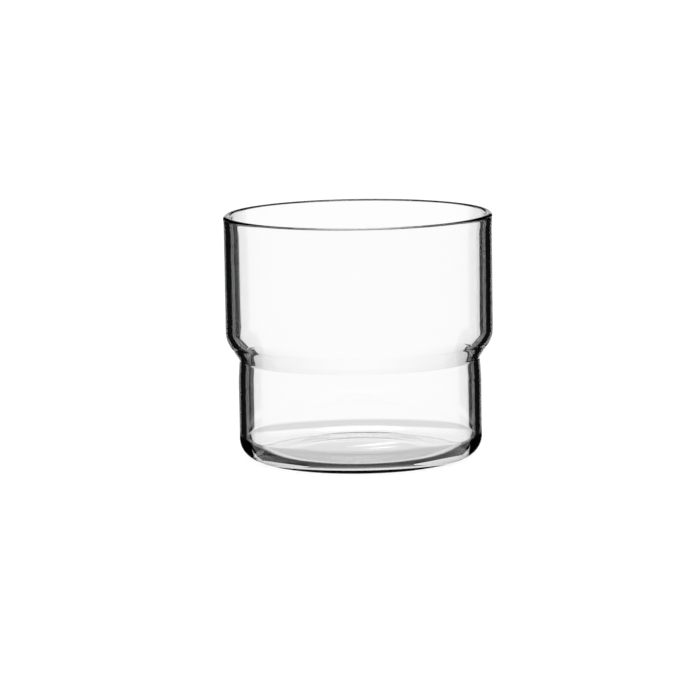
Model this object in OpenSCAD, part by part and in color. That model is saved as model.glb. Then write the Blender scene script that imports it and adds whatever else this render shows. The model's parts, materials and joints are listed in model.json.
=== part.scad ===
// Stepped cortado glass: one piece of clear glass, a wide bowl over a narrower foot.
// Millimetres. +Z is up, and the origin is the centre of the base on the table.

/* [Overall] */
// Height from the table to the top of the rim
height = 73; // [60:0.5:95]
// Largest outer diameter, across the rim
rim_d = 80; // [65:0.5:100]

/* [Bowl] */
// Thickness of the bowl's wall
bowl_t = 2; // [1.4:0.1:3]
// How far the rim stands proud of the bowl's wall outside
rim_proud = 0.15; // [0.1:0.05:1]
// How far the rim stands proud of the bowl's wall inside
rim_lip = 0.1; // [0.05:0.05:0.5]
// Radius under the rim, where it swells out of the wall outside
swell_r = 20; // [4:0.5:30]
// Slope of the shoulder under the bowl, up from the horizontal
shoulder_angle = 57; // [40:1:68]
// Outer radius where the shoulder turns up into the bowl
shoulder_r = 8; // [5:0.5:12]

/* [Crease] */
// Height of the crease between bowl and foot
crease_z = 29.8; // [24:0.1:38]
// How far the crease lies in from the foot's wall
crease_depth = 0.4; // [0.2:0.05:1]
// Radius in the bottom of the crease
crease_round = 0.7; // [0.3:0.1:1.5]
// Height over which the foot narrows up to the crease
neck_h = 6; // [4:0.5:9]

/* [Foot] */
// Gap all round the foot when it stands in the bowl of another glass
stack_gap = 1.6; // [0.8:0.05:3]
// Thickness of the foot's wall
foot_t = 2; // [1.4:0.1:3]
// Outer radius round the bottom corner
heel_r = 6.2; // [4:0.1:9]
// Thickness of the floor
floor_t = 2.2; // [1.6:0.1:6]
// Inner radius between floor and wall
floor_r = 5.3; // [2.5:0.1:7]
// Width of the ring that the glass stands on
ring_w = 4.8; // [2:0.1:8]
// Depth of the hollow inside that ring
kick_h = 0.5; // [0.3:0.1:1.2]
// Width of the slope round the hollow
kick_slope = 8; // [4:0.5:12]

/* [Hidden] */
$fn = 180;

rim_r = rim_d / 2;
bowl_r = rim_r - rim_proud;
bore_r = bowl_r - bowl_t;
foot_r = bore_r - stack_gap;
crease_r = foot_r - crease_depth;
kick_r = foot_r - heel_r - ring_w;

// The rim is a round bead, a little thicker than the wall that carries it
bead_r = (rim_proud + bowl_t + rim_lip) / 2;
bead = [rim_r - bead_r, height - bead_r];
// Centre of the arc under the bead
swell_x = bowl_r + swell_r;
swell = [swell_x, bead[1] - sqrt((bead_r + swell_r) ^ 2 - (swell_x - bead[0]) ^ 2)];

// Corners of the outside before rounding, from the axis out and up, as [radius, height]
hollow_top = [kick_r - kick_slope, kick_h];
hollow_edge = [kick_r, 0];
heel = [foot_r, 0];
neck = [foot_r, crease_z - neck_h];
crease = [crease_r, crease_z];
shoulder = [bowl_r, crease_z + (bowl_r - crease_r) * tan(shoulder_angle)];
wall_top = [bowl_r, bead[1]];

// Unit vector square to the right of the way from p to q
function side(p, q) = [q[1] - p[1], p[0] - q[0]] / norm(q - p);

// Corner of the inside at corner b of the outside path a, b, c: t1 in from a-b and t2 in from b-c
function inset(a, b, c, t1, t2) =
    let (n1 = side(a, b), n2 = side(b, c), k = n1 * n2)
    b - (n1 * (t1 - t2 * k) + n2 * (t2 - t1 * k)) / (1 - k * k);

// Each path is counter-clockwise, with the radius that rounds each corner
outside = [
    [[0, kick_h], 0],
    [hollow_top, 0],
    [hollow_edge, 0],
    [heel, heel_r],
    [neck, 0],
    [crease, crease_round],
    [shoulder, shoulder_r],
    [wall_top, 0],
    [[0, bead[1]], 0],
];
inside = [
    [[0, kick_h + floor_t], 0],
    [hollow_top + [0, floor_t], 0],
    [hollow_edge + [0, floor_t], 0],
    [[foot_r - foot_t, floor_t], floor_r],
    [inset(heel, neck, crease, foot_t, foot_t), 0],
    [inset(neck, crease, shoulder, foot_t, bowl_t), crease_round + bowl_t],
    [inset(crease, shoulder, wall_top, bowl_t, bowl_t), shoulder_r - bowl_t],
    [[bore_r, height], 0],
    [[0, height], 0],
];

// Tangent point, centre and tangent point of the arc that rounds corner b of the path a, b, c
function arc_at(a, b, c, r) =
    let (to_a = (a - b) / norm(a - b),
         to_c = (c - b) / norm(c - b),
         half = acos(to_a * to_c) / 2,
         mid = (to_a + to_c) / norm(to_a + to_c))
    [b + to_a * r / tan(half), b + mid * r / sin(half), b + to_c * r / tan(half)];

// Above zero where the path a, b, c turns to the left
function turn(a, b, c) = (b - a) * [c[1] - b[1], b[0] - c[0]];

function level_or_upright(p, q) = p[0] == q[0] || p[1] == q[1];

// A touch more radius lets an arc cross walls that slope, where rounded figures spoil an exact touch
function slack(a, b, c) = level_or_upright(a, b) && level_or_upright(b, c) ? 0 : 0.004;

function corner(path, i) = path[(i + len(path)) % len(path)][0];

function arc(path, i) = arc_at(corner(path, i - 1), corner(path, i), corner(path, i + 1), path[i][1]);

// Discs of the rounded corners that turn one way: way 1 for outward corners, -1 for inward ones
module discs(path, way) {
    for (i = [0 : len(path) - 1]) {
        a = corner(path, i - 1);
        b = corner(path, i);
        c = corner(path, i + 1);
        if (path[i][1] > 0 && turn(a, b, c) * way > 0)
            translate(arc(path, i)[1])
                circle(path[i][1] + slack(a, b, c));
    }
}

// Region inside a path, with its corners rounded
module rounded(path) {
    difference() {
        union() {
            polygon([for (i = [0 : len(path) - 1])
                each path[i][1] > 0 ? [arc(path, i)[0], arc(path, i)[2]] : [path[i][0]]]);
            discs(path, 1);
        }
        discs(path, -1);
    }
}

module rim_bead() {
    translate(bead) circle(bead_r);
    difference() {
        polygon([bead, [bowl_r - bowl_t / 2, swell[1]], swell]);
        translate(swell) circle(swell_r + 0.004);
    }
}

module glass() {
    color([0.86, 0.93, 0.95, 0.35])
        rotate_extrude() {
            difference() {
                rounded(outside);
                rounded(inside);
            }
            rim_bead();
        }
}

glass();
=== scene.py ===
import json
import math

import bpy
from mathutils import Matrix, Vector


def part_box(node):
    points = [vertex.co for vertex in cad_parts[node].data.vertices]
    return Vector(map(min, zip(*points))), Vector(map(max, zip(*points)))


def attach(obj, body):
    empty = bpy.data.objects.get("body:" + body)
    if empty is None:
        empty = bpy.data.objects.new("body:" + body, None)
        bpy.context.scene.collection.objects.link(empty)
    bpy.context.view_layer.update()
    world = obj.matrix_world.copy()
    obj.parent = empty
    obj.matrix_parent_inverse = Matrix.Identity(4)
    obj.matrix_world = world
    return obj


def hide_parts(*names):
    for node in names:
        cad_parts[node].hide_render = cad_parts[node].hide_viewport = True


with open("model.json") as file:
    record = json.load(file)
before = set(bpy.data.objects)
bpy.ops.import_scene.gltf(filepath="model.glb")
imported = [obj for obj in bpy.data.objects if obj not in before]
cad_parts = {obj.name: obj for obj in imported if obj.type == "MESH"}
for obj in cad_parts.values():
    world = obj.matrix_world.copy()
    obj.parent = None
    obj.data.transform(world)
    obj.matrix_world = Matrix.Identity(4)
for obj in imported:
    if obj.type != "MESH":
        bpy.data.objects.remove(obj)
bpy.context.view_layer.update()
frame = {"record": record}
scene = bpy.context.scene

MM = 0.001

# Sizes of the glass in millimetres and degrees: some come from the frame, the others are as in the solid
mounts = {m["name"]: m for m in frame["record"]["mounts"]}
top_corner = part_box("glass")[1]
HEIGHT = top_corner.z / MM
RIM_R = top_corner.x / MM
BORE_R = mounts["bowl_socket"]["dims"]["r_mm"]
FOOT_R = mounts["foot_spigot"]["dims"]["r_mm"]
BOWL_T = 2.0
FOOT_T = 2.0
FLOOR_T = 2.2
SWELL_R = 20.0
SHOULDER_ANGLE = 57.0
SHOULDER_R = 8.0
CREASE_Z = 29.8
CREASE_DEPTH = 0.4
CREASE_ROUND = 0.7
NECK_H = 6.0
HEEL_R = 6.2
FLOOR_R = 5.3
RING_W = 4.8
KICK_H = 0.5
KICK_SLOPE = 8.0
BOWL_R = BORE_R + BOWL_T
KICK_R = FOOT_R - HEEL_R - RING_W

# Finer than in the solid: a rim about flush with the wall inside, and eased edges at the neck and the hollow
BEAD_R = 1.04
NECK_R = 40.0
KICK_EASE = 60.0

# Fineness of the mesh: steps round the axis, then degrees in a step and fewest steps along an arc
AROUND = 256
ARC_STEP = 3.0
ARC_LEAST = 6
# Longest step along a wall, and the gap up to which two points are one
LONGEST = 1.0
SAME_POINT = 1e-6


def square_to(p, q):
    """Unit vector to the right of the way from p to q."""
    d = (q - p).normalized()
    return Vector((d.y, -d.x))


def inset(a, b, c, t1, t2):
    """Corner of the inside: t1 in from the line a-b and t2 in from the line b-c."""
    n1, n2 = square_to(a, b), square_to(b, c)
    k = n1.dot(n2)
    return b - (n1 * (t1 - t2 * k) + n2 * (t2 - t1 * k)) / (1 - k * k)


def arc(centre, r, start, end):
    """Points of an arc from one angle to another, in degrees."""
    n = max(ARC_LEAST, math.ceil(abs(end - start) / ARC_STEP))
    angles = [math.radians(start + (end - start) * i / n) for i in range(n + 1)]
    return [centre + r * Vector((math.cos(t), math.sin(t))) for t in angles]


def rounded_corner(a, b, c, r):
    """Points of the arc of radius r that rounds the corner b of the path a, b, c."""
    to_a, to_c = (a - b).normalized(), (c - b).normalized()
    half = to_a.angle(to_c) / 2
    centre = b + (to_a + to_c).normalized() * r / math.sin(half)
    first = b + to_a * r / math.tan(half) - centre
    last = b + to_c * r / math.tan(half) - centre
    start = math.degrees(math.atan2(first.y, first.x))
    turn = (math.degrees(math.atan2(last.y, last.x)) - start + 180) % 360 - 180
    return arc(centre, r, start, start + turn)


def rounded_path(corners):
    """Points along a path of (corner, radius) pairs, no further apart than LONGEST."""
    points = []
    for i, (b, r) in enumerate(corners):
        if r:
            points += rounded_corner(corners[i - 1][0], b, corners[i + 1][0], r)
        else:
            points.append(b)
    path = [points[0]]
    for q in points[1:]:
        p = path[-1]
        gap = (q - p).length
        if gap > SAME_POINT:
            n = math.ceil(gap / LONGEST)
            path += [p.lerp(q, k / n) for k in range(1, n + 1)]
    return path


def rim():
    """The rim's bead, from where it swells out of the wall outside to where it meets the wall inside."""
    bead = Vector((RIM_R - BEAD_R, HEIGHT - BEAD_R))
    swell_x = BOWL_R + SWELL_R
    turn = math.degrees(math.acos((swell_x - bead.x) / (BEAD_R + SWELL_R)))
    swell = Vector((swell_x, bead.y - (BEAD_R + SWELL_R) * math.sin(math.radians(turn))))
    return arc(swell, SWELL_R, 180, 180 - turn) + arc(bead, BEAD_R, -turn, 180)


def outline():
    """The glass cut through: from the axis under the base, round the rim, to the axis above the floor."""
    heel = Vector((FOOT_R, 0))
    neck = Vector((FOOT_R, CREASE_Z - NECK_H))
    crease = Vector((FOOT_R - CREASE_DEPTH, CREASE_Z))
    rise = (BOWL_R - crease.x) * math.tan(math.radians(SHOULDER_ANGLE))
    shoulder = Vector((BOWL_R, CREASE_Z + rise))
    wall_top = Vector((BOWL_R, HEIGHT))
    base = [
        (Vector((0, KICK_H)), 0),
        (Vector((KICK_R - KICK_SLOPE, KICK_H)), KICK_EASE),
        (Vector((KICK_R, 0)), KICK_EASE),
    ]
    return rounded_path(base + [
        (heel, HEEL_R),
        (neck, NECK_R),
        (crease, CREASE_ROUND),
        (shoulder, SHOULDER_R),
    ] + [(p, 0) for p in rim()] + [
        (inset(crease, shoulder, wall_top, BOWL_T, BOWL_T), SHOULDER_R - BOWL_T),
        (inset(neck, crease, shoulder, FOOT_T, BOWL_T), CREASE_ROUND + BOWL_T),
        (neck - Vector((FOOT_T, 0)), NECK_R - FOOT_T),
        (Vector((FOOT_R - FOOT_T, FLOOR_T)), FLOOR_R),
    ] + [(p + Vector((0, FLOOR_T)), r) for p, r in reversed(base)])


def add_object(name, data):
    obj = bpy.data.objects.new(name, data)
    scene.collection.objects.link(obj)
    return obj


def turned_mesh(name, path):
    """Smooth closed mesh of a path that starts and ends on the axis, turned about it."""
    rings = path[1:-1]
    angles = [2 * math.pi * j / AROUND for j in range(AROUND)]
    verts = [Vector((p.x * math.cos(t), p.x * math.sin(t), p.y)) * MM for p in rings for t in angles]
    steps = [(j, (j + 1) % AROUND) for j in range(AROUND)]
    faces = []
    for i in range(len(rings) - 1):
        a, b = i * AROUND, (i + 1) * AROUND
        faces += [(a + j, a + k, b + k, b + j) for j, k in steps]
    under, over = len(verts), len(verts) + 1
    verts += [Vector((0, 0, path[0].y)) * MM, Vector((0, 0, path[-1].y)) * MM]
    last = (len(rings) - 1) * AROUND
    faces += [(under, k, j) for j, k in steps]
    faces += [(over, last + j, last + k) for j, k in steps]
    mesh = bpy.data.meshes.new(name)
    mesh.from_pydata(verts, [], faces)
    mesh.shade_smooth()
    return mesh


def new_material(name):
    """Material with only an output node, with its nodes, its links and that node."""
    mat = bpy.data.materials.new(name)
    mat.use_nodes = True
    nodes, links = mat.node_tree.nodes, mat.node_tree.links
    nodes.clear()
    return mat, nodes, links, nodes.new("ShaderNodeOutputMaterial")


# Clear glass with slight waves in its surface: about how many to a metre, and their height in millimetres
GLASS_IOR = 1.47
WAVE_SCALE = 45.0
WAVE_H = 0.02


def clear_glass():
    mat, nodes, links, out = new_material("clear_glass")
    bsdf = nodes.new("ShaderNodeBsdfPrincipled")
    bsdf.inputs["Base Color"].default_value = (1, 1, 1, 1)
    bsdf.inputs["Roughness"].default_value = 0.0
    bsdf.inputs["IOR"].default_value = GLASS_IOR
    bsdf.inputs["Transmission Weight"].default_value = 1.0
    place = nodes.new("ShaderNodeTexCoord")
    wave = nodes.new("ShaderNodeTexNoise")
    wave.inputs["Scale"].default_value = WAVE_SCALE
    wave.inputs["Detail"].default_value = 1.0
    bump = nodes.new("ShaderNodeBump")
    bump.inputs["Strength"].default_value = 1.0
    bump.inputs["Distance"].default_value = WAVE_H * MM
    links.new(place.outputs["Object"], wave.inputs["Vector"])
    links.new(wave.outputs[0], bump.inputs["Height"])
    links.new(bump.outputs["Normal"], bsdf.inputs["Normal"])
    links.new(bsdf.outputs["BSDF"], out.inputs["Surface"])
    return mat


glass = add_object("glass_body", turned_mesh("glass_body", outline()))
glass.data.materials.append(clear_glass())
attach(glass, "root")
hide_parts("glass")

# Camera at the photograph's angle: its distance and the point that it looks at are in millimetres
CAM_D = 1200.0
CAM_UP = math.radians(8.404)
CAM_ROLL = math.radians(-0.877)
CAM_AT = Vector((-2.870, 0, 32.018))
# Width of the picture and focal length in pixels
FRAME_PX = 700
FOCAL_PX = 4026.0


def add_camera():
    data = bpy.data.cameras.new("camera")
    data.lens = FOCAL_PX / FRAME_PX * data.sensor_width
    obj = add_object("camera", data)
    back = Vector((0, -math.cos(CAM_UP), math.sin(CAM_UP)))
    right = Matrix.Rotation(CAM_ROLL, 3, back) @ Vector((1, 0, 0))
    axes = Matrix((right, back.cross(right), back)).transposed()
    obj.matrix_world = Matrix.Translation((CAM_AT + CAM_D * back) * MM) @ axes.to_4x4()
    scene.camera = obj
    return obj


cam = add_camera()


def emission_material(name, level):
    mat, nodes, links, out = new_material(name)
    glow = nodes.new("ShaderNodeEmission")
    glow.inputs["Color"].default_value = (level, level, level, 1)
    links.new(glow.outputs["Emission"], out.inputs["Surface"])
    return mat


# Pale floor, with its half width in metres: white where it is seen, and a diffuse share that takes the shadow
FLOOR_HALF = 6.0
FLOOR_GLOW = 0.9
FLOOR_MATT = 0.14


def floor_material():
    mat, nodes, links, out = new_material("floor")
    add = nodes.new("ShaderNodeAddShader")
    glow = nodes.new("ShaderNodeEmission")
    matt = nodes.new("ShaderNodeBsdfDiffuse")
    matt.inputs["Color"].default_value = (FLOOR_MATT, FLOOR_MATT, FLOOR_MATT, 1)
    path = nodes.new("ShaderNodeLightPath")
    seen = path.outputs["Is Camera Ray"]
    for ray in ("Is Glossy Ray", "Is Transmission Ray"):
        either = nodes.new("ShaderNodeMath")
        either.operation = "MAXIMUM"
        links.new(seen, either.inputs[0])
        links.new(path.outputs[ray], either.inputs[1])
        seen = either.outputs["Value"]
    share = nodes.new("ShaderNodeMath")
    share.operation = "MULTIPLY"
    share.inputs[1].default_value = FLOOR_GLOW
    links.new(seen, share.inputs[0])
    links.new(share.outputs["Value"], glow.inputs["Strength"])
    links.new(glow.outputs["Emission"], add.inputs[0])
    links.new(matt.outputs["BSDF"], add.inputs[1])
    links.new(add.outputs["Shader"], out.inputs["Surface"])
    return mat


def add_floor():
    """Floor that the camera sees; rays through the glass meet the cards or the white world instead."""
    corners = [(-1, -1), (1, -1), (1, 1), (-1, 1)]
    mesh = bpy.data.meshes.new("floor")
    mesh.from_pydata([(x * FLOOR_HALF, y * FLOOR_HALF, 0) for x, y in corners], [], [(0, 1, 2, 3)])
    mesh.materials.append(floor_material())
    obj = add_object("floor", mesh)
    obj.visible_glossy = False
    obj.visible_transmission = False


add_floor()

world = bpy.data.worlds.new("studio")
scene.world = world
world.use_nodes = True
background = world.node_tree.nodes["Background"]
background.inputs["Color"].default_value = (1, 1, 1, 1)
background.inputs["Strength"].default_value = 1.0


def lighting_only(obj):
    """The object is seen in and through the glass, and not by the camera itself."""
    obj.visible_camera = False
    obj.visible_diffuse = False
    obj.visible_shadow = False


# Painted shadow of the glass on the table, as it shows through the base, in grey cards that turn to the
# camera:
# inner and outer radius in millimetres, two bearings in degrees from straight behind, grey level,
# and share of the width that is left at both ends
TABLE_SHADOW = [
    ("table_shadow_under", 0.01, 28.0, -180, 180, 0.7, 1.0),
    ("table_shadow_front_0", 28.0, 29.8, 90, 270, 0.9, 1.0),
    ("table_shadow_front_1", 29.8, 30.6, 150, 210, 0.3, 1.0),
    ("table_shadow_front_2", 30.6, 31.6, 150, 210, 0.08, 1.0),
    ("table_shadow_front_3", 31.6, 33.0, 150, 210, 0.03, 1.0),
    ("table_shadow_right", 29.0, 32.7, 88, 150, 0.8, 0.2),
    ("table_shadow_left", 29.0, 31.7, 210, 272, 0.8, 0.2),
    ("table_shadow_behind", 45.0, 55.5, -56, 56, 0.72, 0.1),
    ("table_shadow_haze", 43.5, 57.5, -60, 60, 0.87, 0.2),
]
# Height of the first card, how much lower each next one lies, and the steps along a card
TABLE_Z = -0.05
TABLE_STEP = 0.02
PATCH_STEPS = 96
table_rig = add_object("table_rig", None)
turn_round = table_rig.constraints.new("LOCKED_TRACK")
turn_round.target = cam
turn_round.track_axis = "TRACK_NEGATIVE_Y"
turn_round.lock_axis = "LOCK_Z"


def painted_shadow_card(name, inner, outer, left, right, level, ends, z):
    """Card of painted shadow between two radii and two bearings that narrows towards its ends."""
    middle = (inner + outer) / 2
    verts = []
    for j in range(PATCH_STEPS + 1):
        along = j / PATCH_STEPS
        bearing = math.radians(left + (right - left) * along)
        half = (outer - inner) / 2 * (1 - (1 - ends) * (2 * along - 1) ** 2)
        for r in (middle - half, middle + half):
            verts.append(Vector((r * math.sin(bearing), r * math.cos(bearing), z)) * MM)
    faces = [(2 * j, 2 * j + 1, 2 * j + 3, 2 * j + 2) for j in range(PATCH_STEPS)]
    mesh = bpy.data.meshes.new(name)
    mesh.from_pydata(verts, [], faces)
    mesh.materials.append(emission_material(name, level))
    obj = add_object(name, mesh)
    obj.parent = table_rig
    lighting_only(obj)


# Grey cards of painted shadow under and round the base
for k, patch in enumerate(TABLE_SHADOW):
    painted_shadow_card(*patch, TABLE_Z - k * TABLE_STEP)

# Streaks of light on the table: place across and behind, half length, half width, and turn in degrees
STREAKS = [(5.0, 10.0, 12.0, 2.4, 25.0), (6.5, 3.5, 7.0, 1.8, 20.0)]
STREAK_Z = -0.03
STREAK_GLOW = 2.0
STREAK_STEPS = 48


def soft_glow(name):
    """Glow that fades from the middle of a disc of radius 1 to its edge."""
    mat, nodes, links, out = new_material(name)
    place = nodes.new("ShaderNodeTexCoord")
    fade = nodes.new("ShaderNodeTexGradient")
    fade.gradient_type = "SPHERICAL"
    glow = nodes.new("ShaderNodeEmission")
    glow.inputs["Strength"].default_value = STREAK_GLOW
    clear = nodes.new("ShaderNodeBsdfTransparent")
    mix = nodes.new("ShaderNodeMixShader")
    links.new(place.outputs["Object"], fade.inputs["Vector"])
    links.new(fade.outputs[1], mix.inputs[0])
    links.new(clear.outputs["BSDF"], mix.inputs[1])
    links.new(glow.outputs["Emission"], mix.inputs[2])
    links.new(mix.outputs["Shader"], out.inputs["Surface"])
    return mat


def table_streak(name, across, behind, half_length, half_width, turn):
    angles = [2 * math.pi * j / STREAK_STEPS for j in range(STREAK_STEPS)]
    mesh = bpy.data.meshes.new(name)
    mesh.from_pydata([(math.cos(t), math.sin(t), 0) for t in angles], [], [tuple(range(STREAK_STEPS))])
    mesh.materials.append(soft_glow(name))
    obj = add_object(name, mesh)
    obj.location = Vector((across, behind, STREAK_Z)) * MM
    obj.rotation_euler.z = math.radians(turn)
    obj.scale = (half_length * MM, half_width * MM, 1)
    obj.parent = table_rig
    lighting_only(obj)


for k, streak in enumerate(STREAKS):
    table_streak("table_streak_%d" % k, *streak)

# Tent of cards round the glass, turned to the camera: a window behind, dark flags round it, and a pale front.
# Bearings are from straight behind the glass and heights from the line of sight, in degrees
WINDOW_LEFT = 10.6
WINDOW_RIGHT = 12.0
WINDOW_LOW = -15.0
WINDOW_HIGH = 30.0
FLAG_SIDE = 54.0
FLAG_LEVEL = 0.005
FRONT_LEVEL = 0.75
# The window fades towards its top: two heights and the level between them
WINDOW_GRADE = [(14, 18, 0.8), (18, 22, 0.55), (22, 26, 0.35), (26, WINDOW_HIGH, 0.15)]
# Below this height the pale front is darker towards the sides: two bearings and the level between them
LOW_FRONT = -20.0
LOW_GRADE = [(FLAG_SIDE, 78, 0.3), (78, 96, 0.45), (96, 114, 0.6), (114, 180, FRONT_LEVEL)]
# Radius of the tent in metres, and the steps of a card each way
TENT_R = 3.0
CARD_STEPS = 24
FRONT_STEPS = 48
flag_rig = add_object("flag_rig", None)
flag_rig.location = (0, 0, HEIGHT / 2 * MM)
track = flag_rig.constraints.new("TRACK_TO")
track.target = cam
track.track_axis = "TRACK_NEGATIVE_Y"
track.up_axis = "UP_Z"


def flag(name, left, right, low, high, level, n=CARD_STEPS):
    """Card of the tent between two bearings and two heights."""
    verts = []
    for i in range(n + 1):
        up = math.radians(low + (high - low) * i / n)
        ring_r = TENT_R * math.cos(up)
        for j in range(n + 1):
            bearing = math.radians(left + (right - left) * j / n)
            verts.append((ring_r * math.sin(bearing), ring_r * math.cos(bearing), TENT_R * math.sin(up)))
    row = n + 1
    corners = [i * row + j for i in range(n) for j in range(n)]
    mesh = bpy.data.meshes.new(name)
    mesh.from_pydata(verts, [], [(k, k + 1, k + row + 1, k + row) for k in corners])
    mesh.materials.append(emission_material(name, level))
    obj = add_object(name, mesh)
    obj.parent = flag_rig
    lighting_only(obj)


flag("flag_left", -FLAG_SIDE, -WINDOW_LEFT, -90, 90, FLAG_LEVEL)
flag("flag_right", WINDOW_RIGHT, FLAG_SIDE, -90, 90, FLAG_LEVEL)
flag("flag_below", -WINDOW_LEFT, WINDOW_RIGHT, -90, WINDOW_LOW, FLAG_LEVEL)
flag("flag_above", -WINDOW_LEFT, WINDOW_RIGHT, WINDOW_HIGH, 90, FLAG_LEVEL)
flag("fill_front", FLAG_SIDE, 360 - FLAG_SIDE, LOW_FRONT, 90, FRONT_LEVEL, FRONT_STEPS)
for k, (near, far, level) in enumerate(LOW_GRADE):
    flag("fill_low_left_%d" % k, -far, -near, -90, LOW_FRONT, level)
    flag("fill_low_right_%d" % k, near, far, -90, LOW_FRONT, level)
for k, (bottom, top, level) in enumerate(WINDOW_GRADE):
    flag("grade_%d" % k, -WINDOW_LEFT, WINDOW_RIGHT, bottom, top, level)

# Soft lamp over the glass, in metres and watts
LAMP_SIZE = 1.2
LAMP_POWER = 12
LAMP_AT = (0, 0.2, 1.5)
lamp_data = bpy.data.lights.new("softbox", "AREA")
lamp_data.shape = "DISK"
lamp_data.size = LAMP_SIZE
lamp_data.energy = LAMP_POWER
lamp = add_object("softbox", lamp_data)
lamp.location = LAMP_AT

scene.view_settings.view_transform = "Standard"
